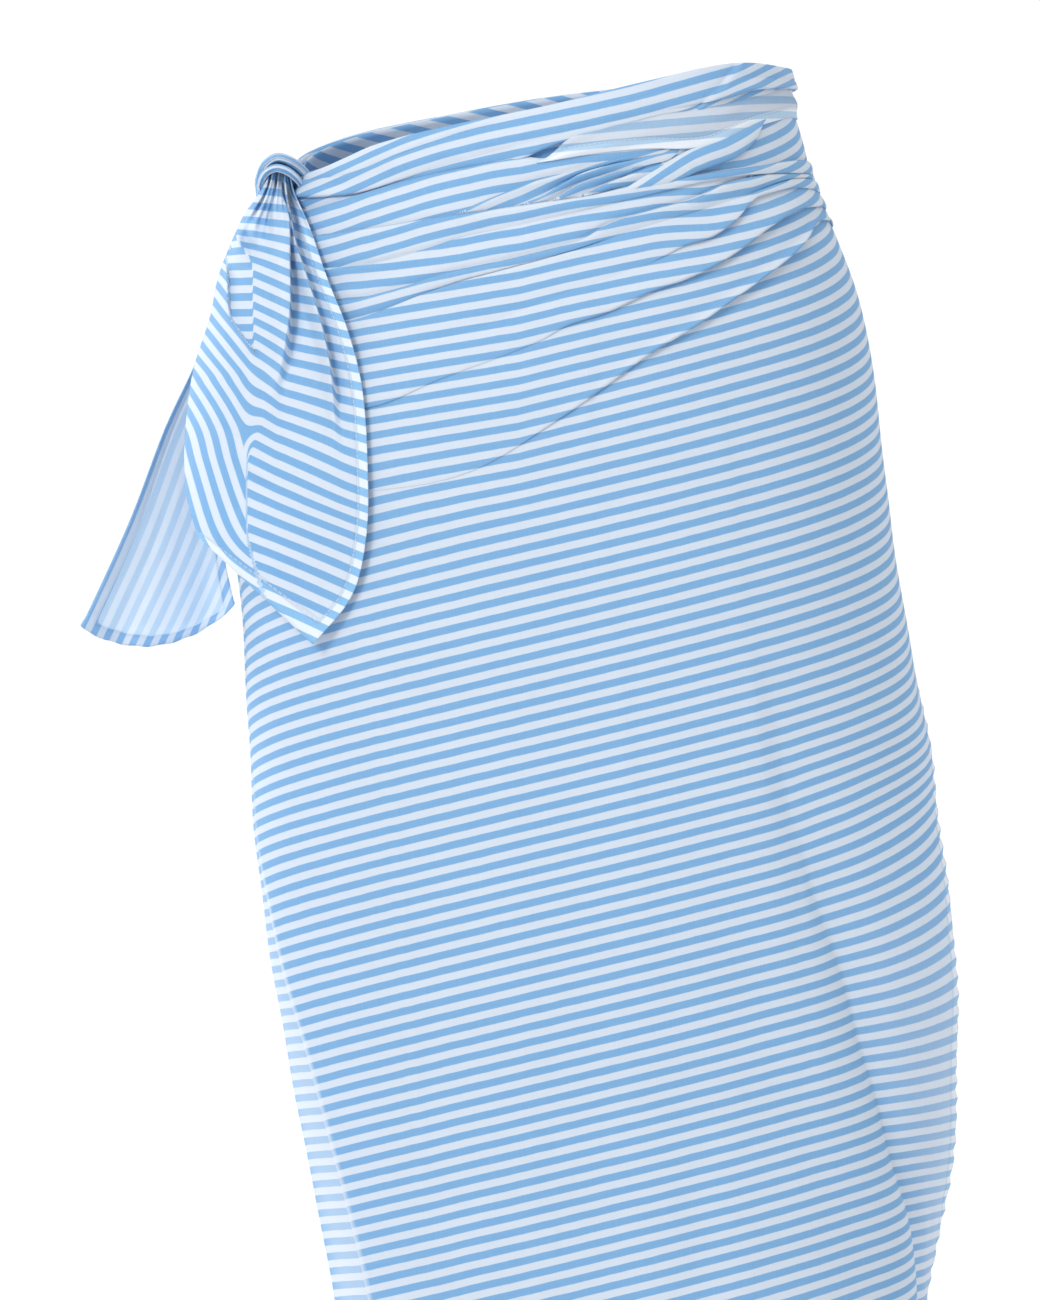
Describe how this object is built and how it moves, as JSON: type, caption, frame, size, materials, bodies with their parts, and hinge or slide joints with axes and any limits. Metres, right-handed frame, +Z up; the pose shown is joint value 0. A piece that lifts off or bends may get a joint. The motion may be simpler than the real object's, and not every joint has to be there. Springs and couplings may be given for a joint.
{
  "type": "wrap skirt",
  "caption": "Long wrap skirt of light blue and white striped cotton, worn form, gathered at one hip and knotted at the other, with two hanging ends and an open free side edge.",
  "frame": {"origin": "the middle of the waist opening, where the wearer's waist holds the skirt", "axes": "+Z up, -Y the wearer's front, +X the wearer's left"},
  "size_m": [0.4828, 0.2616, 1.0014],
  "materials": {
    "striped_cotton": "thin plain-woven cotton, even light blue and white stripes about 4 mm wide, matt",
    "striped_cotton_reverse": "inner face of the same cotton, the stripes a little paler, matt"
  },
  "bodies": {
    "root": {"front_wrap_hips": "striped_cotton", "back_wrap_hips": "striped_cotton", "under_wrap_hips": "striped_cotton", "front_wrap_thighs": "striped_cotton", "back_wrap_thighs": "striped_cotton", "under_wrap_thighs": "striped_cotton", "front_wrap_knees": "striped_cotton", "back_wrap_knees": "striped_cotton", "under_wrap_knees": "striped_cotton", "front_wrap_hem": "striped_cotton", "back_wrap_hem": "striped_cotton", "under_wrap_hem": "striped_cotton", "top_band": "striped_cotton", "hemmed_band": "striped_cotton_reverse", "cross_fold": "striped_cotton", "back_band": "striped_cotton", "knot": "striped_cotton", "front_tail": "striped_cotton", "back_tail": "striped_cotton_reverse"}
  },
  "joints": []
}
